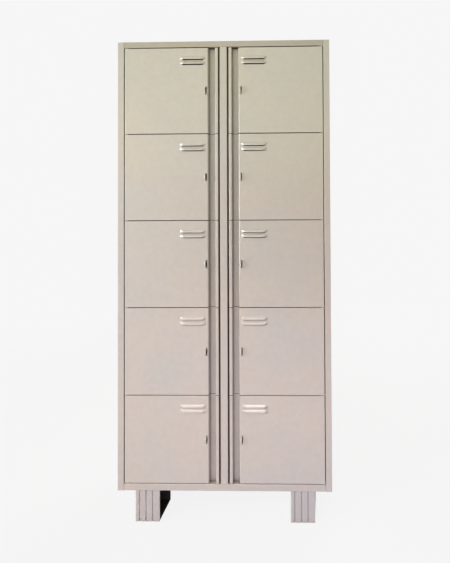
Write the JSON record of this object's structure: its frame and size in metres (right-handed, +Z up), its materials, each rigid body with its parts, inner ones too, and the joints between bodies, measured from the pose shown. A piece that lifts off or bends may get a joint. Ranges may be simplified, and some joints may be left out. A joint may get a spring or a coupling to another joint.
{
  "type": "parcel locker",
  "caption": "Freestanding sheet-steel parcel locker with columns of hinged doors, each with a finger recess, louvres and a padlock loop, on short channel legs.",
  "frame": {"origin": "on the floor, in the middle of the part's width and depth", "axes": "+X to the right seen from the front, +Y to the back, +Z up"},
  "size_m": [0.88, 0.498, 1.98],
  "materials": {
    "door_enamel": "semi-gloss beige-grey stoved enamel",
    "frame_enamel": "semi-gloss beige-grey stoved enamel",
    "carcass_enamel": "semi-gloss beige-grey stoved enamel",
    "leg_enamel": "semi-gloss beige-grey enamel, dark primer inside",
    "staple_enamel": "semi-gloss beige-grey enamel",
    "stiffener_primer": "matt grey primer",
    "plated_steel": "bright zinc plating"
  },
  "bodies": {
    "locker_body": {"back_panel": "carcass_enamel", "top_panel": "carcass_enamel", "bottom_panel": "carcass_enamel", "centre_partition": "carcass_enamel", "side_panel_left": "carcass_enamel", "side_panel_right": "carcass_enamel", "frame_rail_top": "frame_enamel", "frame_rail_bottom": "frame_enamel", "centre_post": "frame_enamel", "frame_stile_left": "frame_enamel", "frame_stile_right": "frame_enamel", "shelf_left_1": "carcass_enamel", "shelf_left_2": "carcass_enamel", "shelf_left_3": "carcass_enamel", "shelf_left_4": "carcass_enamel", "shelf_right_1": "carcass_enamel", "shelf_right_2": "carcass_enamel", "shelf_right_3": "carcass_enamel", "shelf_right_4": "carcass_enamel", "padlock_staple_left_1": "staple_enamel", "padlock_staple_left_2": "staple_enamel", "padlock_staple_left_3": "staple_enamel", "padlock_staple_left_4": "staple_enamel", "padlock_staple_left_5": "staple_enamel", "padlock_staple_right_1": "staple_enamel", "padlock_staple_right_2": "staple_enamel", "padlock_staple_right_3": "staple_enamel", "padlock_staple_right_4": "staple_enamel", "padlock_staple_right_5": "staple_enamel", "hinge_rod_left": "plated_steel", "hinge_rod_right": "plated_steel", "leg_front_left": "leg_enamel", "leg_front_right": "leg_enamel", "leg_rear_left": "leg_enamel", "leg_rear_right": "leg_enamel", "leg_bolt_front_left": "plated_steel", "leg_bolt_front_right": "plated_steel", "leg_bolt_rear_left": "plated_steel", "leg_bolt_rear_right": "plated_steel"},
    "door_left_1": {"door_left_1": "door_enamel", "door_stiffener_left_1": "stiffener_primer"},
    "door_left_2": {"door_left_2": "door_enamel", "door_stiffener_left_2": "stiffener_primer"},
    "door_left_3": {"door_left_3": "door_enamel", "door_stiffener_left_3": "stiffener_primer"},
    "door_left_4": {"door_left_4": "door_enamel", "door_stiffener_left_4": "stiffener_primer"},
    "door_left_5": {"door_left_5": "door_enamel", "door_stiffener_left_5": "stiffener_primer"},
    "door_right_1": {"door_right_1": "door_enamel", "door_stiffener_right_1": "stiffener_primer"},
    "door_right_2": {"door_right_2": "door_enamel", "door_stiffener_right_2": "stiffener_primer"},
    "door_right_3": {"door_right_3": "door_enamel", "door_stiffener_right_3": "stiffener_primer"},
    "door_right_4": {"door_right_4": "door_enamel", "door_stiffener_right_4": "stiffener_primer"},
    "door_right_5": {"door_right_5": "door_enamel", "door_stiffener_right_5": "stiffener_primer"}
  },
  "joints": [
    {"name": "door_left_1_hinge", "type": "hinge", "parent": "locker_body", "child": "door_left_1", "pos_m": [-0.406, -0.225, 1.775], "axis": [0, 0, -1], "range_deg": [0, 105]},
    {"name": "door_left_2_hinge", "type": "hinge", "parent": "locker_body", "child": "door_left_2", "pos_m": [-0.406, -0.225, 1.416], "axis": [0, 0, -1], "range_deg": [0, 105]},
    {"name": "door_left_3_hinge", "type": "hinge", "parent": "locker_body", "child": "door_left_3", "pos_m": [-0.406, -0.225, 1.057], "axis": [0, 0, -1], "range_deg": [0, 105]},
    {"name": "door_left_4_hinge", "type": "hinge", "parent": "locker_body", "child": "door_left_4", "pos_m": [-0.406, -0.225, 0.698], "axis": [0, 0, -1], "range_deg": [0, 105]},
    {"name": "door_left_5_hinge", "type": "hinge", "parent": "locker_body", "child": "door_left_5", "pos_m": [-0.406, -0.225, 0.339], "axis": [0, 0, -1], "range_deg": [0, 105]},
    {"name": "door_right_1_hinge", "type": "hinge", "parent": "locker_body", "child": "door_right_1", "pos_m": [0.406, -0.225, 1.775], "axis": [0, 0, 1], "range_deg": [0, 105]},
    {"name": "door_right_2_hinge", "type": "hinge", "parent": "locker_body", "child": "door_right_2", "pos_m": [0.406, -0.225, 1.416], "axis": [0, 0, 1], "range_deg": [0, 105]},
    {"name": "door_right_3_hinge", "type": "hinge", "parent": "locker_body", "child": "door_right_3", "pos_m": [0.406, -0.225, 1.057], "axis": [0, 0, 1], "range_deg": [0, 105]},
    {"name": "door_right_4_hinge", "type": "hinge", "parent": "locker_body", "child": "door_right_4", "pos_m": [0.406, -0.225, 0.698], "axis": [0, 0, 1], "range_deg": [0, 105]},
    {"name": "door_right_5_hinge", "type": "hinge", "parent": "locker_body", "child": "door_right_5", "pos_m": [0.406, -0.225, 0.339], "axis": [0, 0, 1], "range_deg": [0, 105]}
  ]
}
